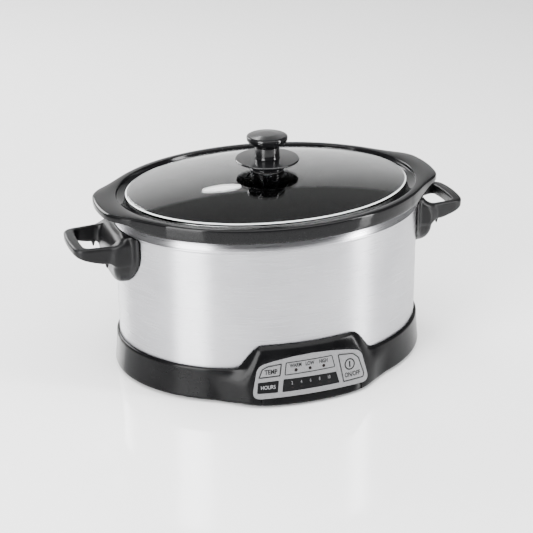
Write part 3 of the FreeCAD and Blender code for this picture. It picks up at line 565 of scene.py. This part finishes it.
def make_lid():
    half_x, half_y = HALF_X - LID_GAP, HALF_Y - LID_GAP
    edge_top = LID_LOW + GLASS_THICK

    def dome(share, sink):
        return edge_top - sink + DOME_RISE * (1 - share ** 2.15)

    rings = []
    for step in range(LID_FACETS + 1):
        share = step / LID_FACETS * 0.992
        rings.append(oval_ring(half_x * share, half_y * share, dome(share, 0)))
    rings[0] = oval_ring(3.0, 3.0, dome(0, 0))
    first_edge = len(rings)
    for inward, z in round_path([(1.5, dome(0.992, 0.0)), (0.0, edge_top - 0.6),
                                 (0.0, LID_LOW + 0.6), (0.9, LID_LOW)], [0, 0.7, 0.7, 0]):
        rings.append(oval_ring(half_x - inward, half_y - inward, z))
    last_edge = first_edge + 5
    for step in range(LID_FACETS, -1, -1):
        share = step / LID_FACETS * 0.985
        rings.append(oval_ring(half_x * share, half_y * share,
                               max(LID_LOW, dome(share, GLASS_THICK - 0.2))))
    rings[-1] = oval_ring(3.0, 3.0, dome(0, GLASS_THICK - 0.2))
    lid = loft_rings("lid_dome", rings, [GLASS, GROUND], close=True)
    per_ring = len(rings[1])
    for polygon in lid.data.polygons:
        ring = polygon.index // per_ring
        if first_edge - 1 <= ring < last_edge:
            polygon.material_index = 1
    finish_piece(lid, "lid", ["lid_glass"], sharp=50)


def make_knob():
    flange = turned("knob_flange_disc",
                    [(2.6, 207.2), (18.0, 207.2), (18.4, 209.0), (15.6, 213.0), (17.0, 215.6),
                     (30.5, 216.0), (33.5, 216.5), (34.0, 217.7), (33.0, 218.6),
                     (14.0, 219.4), (2.6, 219.5)],
                    [KNOB_BLACK], radii=[0, 0.6, 0.8, 3, 2, 4, 0.7, 0.6, 0.8, 2, 0])
    finish_piece(flange, "lid", ["knob_flange"])
    stem = turned("knob_stem_grip",
                  [(2.6, 219.5), (14.0, 219.5), (13.0, 221.2), (12.8, 231.4), (2.6, 231.4)],
                  [KNOB_BLACK], radii=[0, 0.5, 1.5, 0.4, 0])
    finish_piece(stem, "lid", ["knob_stem"])
    cap = turned("knob_cap_disc",
                 [(0, 231.5), (12.8, 231.5), (14.0, 233.0), (19.2, 235.6), (21.4, 238.6),
                  (21.75, 241.4), (21.3, 242.9), (19.4, 243.6), (9.0, 244.8), (0, 245.0)],
                 [KNOB_BLACK], radii=[0, 0.2, 2, 5, 3, 1.0, 0.9, 3, 20, 0])
    finish_piece(cap, "lid", ["knob_cap"])


# ---------------------------------------------------------------- side handles

HANDLE_TOP, HANDLE_LOW, HANDLE_END = 156.5, 138.0, 217.5
PAD_TOP, PAD_LOW = 165.0, 108.0


def pad_outline(y, z, width, low, power):
    """Distance outside the round-bottomed outline of the mounting pad."""
    turn = 147.0
    below = np.maximum(turn - z, 0) / (turn - low)
    reach = (np.abs(y) / width) ** power + below ** power
    return (reach ** (1 / power) - 1) * width * 0.85


def handle_field(x, y, z):
    """The right-hand handle: a finger loop, the boss that carries it and its pad."""
    wall = oval_distance(x, y)
    pad = smooth_max(smooth_max(pad_outline(y, z, 47.5, PAD_LOW, 2.0), wall - 3.1, 2.4),
                     z - PAD_TOP, 1.5)
    face = smooth_max(x - 177.3, (x - 177.3) * 0.803 + (z - 150.0) * 0.596, 5.0)
    face = smooth_max(face, (x - 177.0) * 0.88 - (z - 116.0) * 0.47, 8.0)
    boss = smooth_max(pad_outline(y, z, 39.0, PAD_LOW + 1.0, 3.0), face, 7.0)
    boss = smooth_max(boss, z - PAD_TOP, 1.5)

    spread = (205.5 - x) * 0.10
    outer = smooth_max(x + y * y / 320 - HANDLE_END, np.abs(y) - 33.5 - spread, 10.0)
    inner = smooth_max(x + y * y / 400 - 206.3, np.abs(y) - 27.2 - spread, 7.0)
    inner = smooth_max(inner, 170.0 - x, 1.0)
    top = z - HANDLE_TOP + 0.012 * (x - 190.0) + 0.0009 * y * y
    rise = np.maximum(x - 188.0, 0)
    under = HANDLE_LOW + 0.18 * rise + 0.0055 * rise ** 2 - z
    ring = smooth_max(smooth_max(outer, -inner, 2.2), smooth_max(top, under, 2.6), 2.6)
    nub_low, nub_high = HANDLE_LOW - 5.8, HANDLE_LOW + 1.5
    share = np.clip((z - nub_low) / (nub_high - nub_low), 0, 1)
    nub = np.hypot(x - 183.5, np.abs(y) - 31.2) - (0.7 + 2.0 * share)
    nub = np.maximum(nub, np.maximum(nub_low - z, z - nub_high))
    shape = smooth_min(ring, boss, 7.0)
    shape = smooth_min(shape, pad, 3.0)
    shape = smooth_min(shape, nub, 0.8)
    bead = np.where(z > BEAD - 3.0, BEAD_OUT, 0.0)
    return np.maximum(shape, bead + 0.25 - wall)


def make_handles():
    for side, mirror in (("right", False), ("left", True)):
        handle = surface_net(f"{side}_handle_grip", handle_field, (146, -52, 104),
                             (220, 52, 168), 1.1, [HANDLE_BLACK], mirror)
        finish_piece(handle, "root", [f"{side}_handle"], sharp=60)


# ---------------------------------------------------------------- base band and control pod

BASE_LOW, BASE_TOP = 3.0, 38.0
POD_TOP = 66.5
TILT = math.radians(12.0)
PANEL_Y, PANEL_LEVEL = -139.0, 32.5
POD_CURVE = 220.0
POD_TOP_HALF, POD_FALL = 46.0, 38.0
POD_BACK = -90.0
POD_WALL, BAND_WALL = 2.9, 2.6
HOLLOW_TOP = 33.0
SEAT_LOW = 28.5
FIT = 0.25
OPENING_DEEP, OPENING_OUT = 14.0, 40.0
TRIM_HALF, TRIM_TOP, TRIM_BACK = 54.0, 11.8, 120.0
APERTURE_IN = 0.6


def panel_depth(y, z):
    """Distance out of the flat plane that touches the middle of the panel's face."""
    return -(y - PANEL_Y) * math.cos(TILT) + (z - PANEL_LEVEL) * math.sin(TILT)


def contact_height(x):
    """Height of the line where the base moulding meets the shell, and its slope."""
    t = np.clip((np.abs(x) - POD_TOP_HALF) / POD_FALL, 0, 1)
    fall = t ** 3 * (6 * t ** 2 - 15 * t + 10)
    steep = 30 * t ** 2 * (t - 1) ** 2 / POD_FALL
    return POD_TOP - (POD_TOP - BASE_TOP) * fall, (POD_TOP - BASE_TOP) * steep


def pod_field(x, y, z):
    depth = panel_depth(y, z)
    face = np.hypot(x, depth + POD_CURVE) - POD_CURVE
    side = (np.abs(x) - 62.0) * 0.745 - (y + 139.5) * 0.667
    height, slope = contact_height(x)
    top = (z - height) / np.sqrt(1 + slope ** 2)
    shape = smooth_max(face, side, 13.0)
    shape = smooth_max(shape, top, 16.0)
    shape = smooth_max(shape, BASE_LOW - z, 2.5)
    return np.maximum(shape, y - POD_BACK)


def base_field(x, y, z):
    wall = oval_distance(x, y)
    flare = 3.2 + 2.8 * np.clip((BASE_TOP - z) / (BASE_TOP - BASE_LOW), 0, 1) ** 1.4
    band = smooth_max(smooth_max(wall - flare, z - BASE_TOP, 2.6), BASE_LOW - z, 2.5)
    pod = pod_field(x, y, z)
    shape = smooth_min(band, pod, 4.5)
    hollow = np.minimum(pod + POD_WALL, np.maximum(wall - flare + BAND_WALL, z - HOLLOW_TOP))
    seat = np.where(z > SEAT_LOW, wall - FIT, 1.0)
    opening = np.maximum(aperture_distance(x, y, z), -OPENING_OUT - panel_depth(y, z))
    opening = np.maximum(opening, -(panel_depth(y, z) + OPENING_DEEP))
    trim = np.maximum(np.abs(x) - TRIM_HALF - FIT, z - TRIM_TOP - 0.2)
    trim = np.maximum(trim, y + TRIM_BACK - 2.0)
    shape = np.maximum(shape, -hollow)
    shape = np.maximum(shape, -seat)
    shape = np.maximum(shape, -opening)
    return np.maximum(shape, -trim)


def trim_field(x, y, z):
    pod = pod_field(x, y, z)
    box = smooth_max(np.abs(x) - TRIM_HALF, z - TRIM_TOP, 1.0)
    shape = smooth_max(np.maximum(pod + 0.15, -(pod + 2.6)), box, 0.8)
    return np.maximum(shape, y + TRIM_BACK)


def aperture_distance(x, y, z):
    """Distance outside the panel's outline, seen square on to the tilted face."""
    v = (y - PANEL_Y) * math.sin(TILT) + (z - PANEL_LEVEL) * math.cos(TILT)
    u = np.abs(x)
    side = (u - 62.4 + 0.24 * (v + 12.0)) * 0.972
    shape = smooth_max(side, -20.4 - v, 14.0)
    arc = np.hypot(u, v + 208.5) - 230.0
    return smooth_max(shape, arc, 14.0) + APERTURE_IN


def make_base():
    base = surface_net("base_band", base_field, (-173, -148.5, 1.5), (173, 135, 66), 1.5,
                       [BASE_BLACK])
    finish_piece(base, "root", ["base_housing"], sharp=50)
    trim = surface_net("pod_trim_strip", trim_field, (-57, -149, 1.5), (57, -128, 15), 0.8,
                       [BASE_BLACK])
    finish_piece(trim, "root", ["lower_trim"], sharp=50)


# ---------------------------------------------------------------- control panel

FILM_TOP = 0.25
FILM_LOW = -0.3
CAP_LOW = -2.4
LINE = 1.0
LAMP_LEVEL, LAMP_RADIUS = 6.2, 1.7
LAMP_WORD_LEVEL = 11.2
HOUR_WORD_LEVEL = -6.8


def flat_plate(name, loops, low, high, edge=0.0):
    """A flat plate in the panel's (u, v), with holes, from depth low up to high."""
    curve = bpy.data.curves.new(name, "CURVE")
    curve.dimensions = "2D"
    curve.fill_mode = "BOTH"
    curve.extrude = (high - low) / 2 - edge
    curve.bevel_depth = edge
    curve.bevel_resolution = 2
    curve.offset = -edge
    for loop in loops:
        spline = curve.splines.new("POLY")
        spline.points.add(len(loop) - 1)
        for point, (u, v) in zip(spline.points, loop):
            point.co = (u, v, 0, 1)
        spline.use_cyclic_u = True
    return mesh_from_curve(name, curve, (low + high) / 2)


def mesh_from_curve(name, curve, lift):
    source = bpy.data.objects.new(name + "_curve", curve)
    bpy.context.scene.collection.objects.link(source)
    depsgraph = bpy.context.evaluated_depsgraph_get()
    mesh = bpy.data.meshes.new_from_object(source.evaluated_get(depsgraph))
    bpy.data.objects.remove(source)
    for vertex in mesh.vertices:
        vertex.co.z += lift
    mesh.name = name
    return mesh


def bend_on_panel(name, mesh, material, body, replaces=(), sharp=30):
    """Wrap a flat mesh in millimetres (u, v, height) round the bulging face of the pod."""
    work = bmesh.new()
    work.from_mesh(mesh)
    bmesh.ops.remove_doubles(work, verts=work.verts, dist=0.001)
    for step in range(-26, 27):
        bmesh.ops.bisect_plane(work, geom=work.verts[:] + work.edges[:] + work.faces[:],
                               plane_co=(step * 2.5, 0, 0), plane_no=(1, 0, 0), dist=1e-4)
    for vertex in work.verts:
        u, v, height = vertex.co
        depth = height - (POD_CURVE - math.sqrt(POD_CURVE ** 2 - u * u))
        y = PANEL_Y + v * math.sin(TILT) - depth * math.cos(TILT)
        z = PANEL_LEVEL + v * math.cos(TILT) + depth * math.sin(TILT)
        vertex.co = (u * MM, (y + AXIS_Y) * MM, z * MM)
    bmesh.ops.recalc_face_normals(work, faces=work.faces)
    work.to_mesh(mesh)
    work.free()
    obj = bpy.data.objects.new(name, mesh)
    bpy.context.scene.collection.objects.link(obj)
    mesh.materials.clear()
    mesh.materials.append(material)
    return finish_piece(obj, body, replaces, sharp)


def shrink(loop, amount):
    """Move a convex outline inwards by about amount."""
    middle = sum((Vector(point) for point in loop), Vector((0, 0))) / len(loop)
    inner = []
    for index, point in enumerate(loop):
        ahead = Vector(loop[(index + 1) % len(loop)]) - Vector(loop[index - 1])
        normal = Vector((-ahead.y, ahead.x)).normalized()
        if normal.dot(middle - Vector(point)) < 0:
            normal = -normal
        inner.append(tuple(Vector(point) + normal * amount))
    return inner


def legend(name, text, u, v, size, material, body, width=0.85, bold=0.035):
    """A printed word or number on the panel."""
    curve = bpy.data.curves.new(name, "FONT")
    curve.body = text
    curve.size = size
    curve.align_x = "CENTER"
    curve.align_y = "CENTER"
    curve.extrude = 0.03
    curve.offset = size * bold
    mesh = mesh_from_curve(name, curve, FILM_TOP + 0.03)
    for vertex in mesh.vertices:
        vertex.co.x = vertex.co.x * width + u
        vertex.co.y += v
    return bend_on_panel(name, mesh, material, body)


def ring_plate(name, centre, radius, thick, material, body):
    angles = [2 * math.pi * step / 48 for step in range(48)]
    loops = [[(centre[0] + r * math.cos(a), centre[1] + r * math.sin(a)) for a in angles]
             for r in (radius, radius - thick)]
    mesh = flat_plate(name, loops, FILM_TOP - 0.03, FILM_TOP + 0.06)
    return bend_on_panel(name, mesh, material, body)


def line_frame(name, loop, thick, material, body):
    """A thin printed line round an outline."""
    mesh = flat_plate(name, [loop, shrink(loop, thick)], FILM_TOP - 0.03, FILM_TOP + 0.05)
    return bend_on_panel(name, mesh, material, body)


OVERLAY = round_path([(64.3, -20.4), (56.2, 14.3), (40, 18.0), (20, 20.6), (0, 21.5),
                      (-20, 20.6), (-40, 18.0), (-56.2, 14.3), (-64.3, -20.4)],
                     [8, 12, 40, 40, 40, 40, 40, 12, 8], steps=8, closed=True)
TEMP_KEY = round_path([(-56.5, 1.4), (-34.4, 1.9), (-31.8, 14.9), (-46.5, 13.5),
                       (-52.2, 11.0)], [1.2, 1.2, 1.2, 5, 4], closed=True)
HOURS_KEY = round_path([(-58.3, -14.2), (-38.2, -14.7), (-36.3, -2.8), (-56.8, -3.3)],
                       0.8, closed=True)
POWER_KEY = round_path([(33.0, -15.4), (57.3, -14.9), (58.4, -11.0), (53.0, 7.5),
                        (46.0, 13.2), (28.4, 15.0)], [1.5, 3, 3, 8, 6, 1.5], closed=True)
FIELD = round_path([(-30.2, 1.8), (25.0, 2.4), (22.2, 15.7), (-27.8, 15.4)], 1.6, closed=True)
DISPLAY = round_path([(-33.5, -15.2), (28.5, -14.9), (25.5, -2.6), (-31.3, -2.0)],
                     0.8, closed=True)
LAMPS = ((-17.7, "WARM"), (-2.8, "LOW"), (12.1, "HIGH"))
HOURS = ((-22.8, "2"), (-13.1, "4"), (-3.3, "6"), (6.6, "8"), (16.9, "10"))
KEY_GAP = 0.35


def circle_loop(u, v, radius, count=32):
    angles = [2 * math.pi * step / count for step in range(count)]
    return [(u + radius * math.cos(a), v + radius * math.sin(a)) for a in angles]


def make_panel():
    keys = (("temp_key", TEMP_KEY, FILM, "panel_grey"),
            ("hours_key", HOURS_KEY, DISPLAY_BLACK, "display_black"),
            ("power_key", POWER_KEY, FILM, "panel_grey"))
    holes = [shrink(loop, -KEY_GAP) for _, loop, _, _ in keys]
    holes.append(shrink(DISPLAY, -0.05))
    holes += [circle_loop(u, LAMP_LEVEL, LAMP_RADIUS + 0.05) for u, _ in LAMPS]
    overlay = flat_plate("overlay", [OVERLAY] + holes, FILM_LOW, FILM_TOP, 0.1)
    bend_on_panel("overlay_film", overlay, FILM, "root", ["panel_overlay"])
    carrier = flat_plate("carrier", [shrink(OVERLAY, 2.0)] + holes, -2.6, -0.35)
    bend_on_panel("overlay_carrier", carrier, INNER_BLACK, "root",
                  ["panel_carrier"])
    display = flat_plate("display", [DISPLAY], FILM_LOW, FILM_TOP - 0.05)
    bend_on_panel("display_strip", display, DISPLAY_BLACK, "root",
                  ["display_window"])
    for name, loop, material, slot in keys:
        cap = flat_plate(name, [loop], CAP_LOW, FILM_TOP, 0.12)
        bend_on_panel(f"{name}_cap", cap, material, name, [name])

    for name, loop, body in (("status_frame", FIELD, "root"),
                             ("temp_frame", shrink(TEMP_KEY, 0.15), "temp_key"),
                             ("power_frame", shrink(POWER_KEY, 0.15), "power_key")):
        line_frame(name, loop, LINE, PRINT_BLACK, body)
    for number, (u, word) in enumerate(LAMPS, start=1):
        legend(f"status_word_{number}", word, u, LAMP_WORD_LEVEL, 5.5, PRINT_BLACK, "root",
               width=0.72)
        lens = flat_plate("lens", [circle_loop(u, LAMP_LEVEL, LAMP_RADIUS)], -0.9, FILM_TOP, 0.25)
        bend_on_panel(f"status_lens_{number}", lens, LENS, "root")
    for u, word in HOURS:
        legend(f"hour_mark_{word}", word, u, HOUR_WORD_LEVEL, 5.0, PRINT_DIM, "root",
               width=0.68, bold=0.01)
        segment = flat_plate("segment", [[(u - 1.4, -12.0), (u + 1.4, -12.0),
                                          (u + 1.4, -11.0), (u - 1.4, -11.0)]],
                             FILM_TOP - 0.1, FILM_TOP)
        bend_on_panel(f"hour_lamp_{word}", segment, LENS, "root")
    legend("temp_word", "TEMP", -43.4, 7.0, 6.8, PRINT_BLACK, "temp_key",
           width=0.78)
    legend("hours_word", "HOURS", -47.3, -8.8, 5.6, PRINT_PALE, "hours_key",
           width=0.80, bold=0.0)
    legend("power_word", "ON/OFF", 44.2, -8.9, 6.8, PRINT_BLACK, "power_key",
           width=0.74)
    ring_plate("power_ring", (41.7, 2.2), 6.2, 1.5, PRINT_BLACK, "power_key")
    bar = flat_plate("bar", [[(40.8, -1.0), (42.6, -1.0), (42.6, 5.4), (40.8, 5.4)]],
                     FILM_TOP - 0.03, FILM_TOP + 0.06)
    bend_on_panel("power_bar", bar, PRINT_BLACK, "power_key")


# ---------------------------------------------------------------- feet

FOOT_NAMES = ("foot_front_left", "foot_front_right", "foot_rear_left", "foot_rear_right")


def make_feet():
    for name in FOOT_NAMES:
        low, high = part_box(name)
        x = (low.x + high.x) / 2 / MM
        y = (low.y + high.y) / 2 / MM - AXIS_Y
        foot = turned(f"{name}_pad", [(0, 0.4), (3.0, 0.4), (3.6, 0.0), (7.4, 0.0), (8.9, 1.2),
                                      (9.0, 4.9), (0, 4.9)],
                      [RUBBER], (x, y), 64, [0, 0.3, 0.4, 0.6, 0.6, 0.3, 0])
        finish_piece(foot, "root", [name])


paint_cad_nodes()
make_shell()
make_well()
make_crock()
make_lid()
make_knob()
make_handles()
make_base()
make_panel()
make_feet()


# ---------------------------------------------------------------- floor, light and camera

def stage_material(name, colour, roughness, specular):
    material, tree, shader = new_material(name, Specular_IOR_Level=specular)
    clouds = noise(tree, 1.5)
    tint(tree, shader, clouds, [value * 0.99 for value in colour], colour)
    shader.inputs["Roughness"].default_value = roughness
    return material


def make_stage():
    """A pale floor that curves up into a backdrop, far behind the object."""
    profile = round_path([(-2.5, 0.0), (2.6, 0.0), (3.4, 2.6)], [0, 1.2, 0], steps=16)
    points, faces = [], []
    for y, z in profile:
        points += [(-4.5, y, z), (4.5, y, z)]
    for index in range(len(profile) - 1):
        start = index * 2
        faces.append((start, start + 1, start + 3, start + 2))
    mesh = bpy.data.meshes.new("floor")
    mesh.from_pydata(points, [], faces)
    mesh.polygons.foreach_set("use_smooth", [True] * len(mesh.polygons))
    floor = bpy.data.objects.new("floor", mesh)
    mesh.materials.append(stage_material("floor_white", (0.95, 0.95, 0.95), 0.09, 0.9))
    bpy.context.scene.collection.objects.link(floor)


def soft_box(name, place, aim, width, height, power, shape="RECTANGLE"):
    light = bpy.data.lights.new(name, "AREA")
    light.shape = shape
    light.size, light.size_y = width, height
    light.energy = power
    lamp = bpy.data.objects.new(name, light)
    lamp.location = place
    lamp.rotation_euler = (Vector(aim) - Vector(place)).to_track_quat("-Z", "Y").to_euler()
    bpy.context.scene.collection.objects.link(lamp)
    return lamp


def make_lights():
    world = bpy.data.worlds.new("studio")
    world.use_nodes = True
    world.node_tree.nodes["Background"].inputs["Color"].default_value = (1, 1, 1, 1)
    world.node_tree.nodes["Background"].inputs["Strength"].default_value = 0.32
    bpy.context.scene.world = world
    aim = (0, 0, 0.10)
    soft_box("overhead_box", (0.0, -0.5, 2.3), aim, 3.2, 2.6, 150)
    soft_box("left_box", (-1.5, -1.0, 0.7), aim, 0.8, 1.4, 78)
    soft_box("right_box", (1.35, -1.0, 0.7), aim, 0.25, 1.4, 48)
    soft_box("lid_glint", (0.27, 1.3, 1.0), aim, 0.16, 0.12, 0.6, "ELLIPSE")
    soft_box("back_left_box", (-0.75, 1.6, 1.05), aim, 1.0, 0.9, 48)


def make_camera():
    camera_data = bpy.data.cameras.new("camera")
    camera_data.sensor_width = 36.0
    camera_data.lens = 99.9
    azimuth, elevation, distance = math.radians(-18.9), math.radians(23.4), 1.6
    target = Vector((-0.0015, AXIS_Y * MM + 0.0005, 0.0942))
    back = Vector((math.sin(azimuth) * math.cos(elevation),
                   -math.cos(azimuth) * math.cos(elevation), math.sin(elevation)))
    camera = bpy.data.objects.new("camera", camera_data)
    camera.location = target + back * distance
    roll = Quaternion((0, 0, 1), math.radians(-0.42))
    camera.rotation_euler = ((-back).to_track_quat("-Z", "Y") @ roll).to_euler()
    bpy.context.scene.collection.objects.link(camera)
    bpy.context.scene.camera = camera


make_stage()
make_lights()
make_camera()

import json
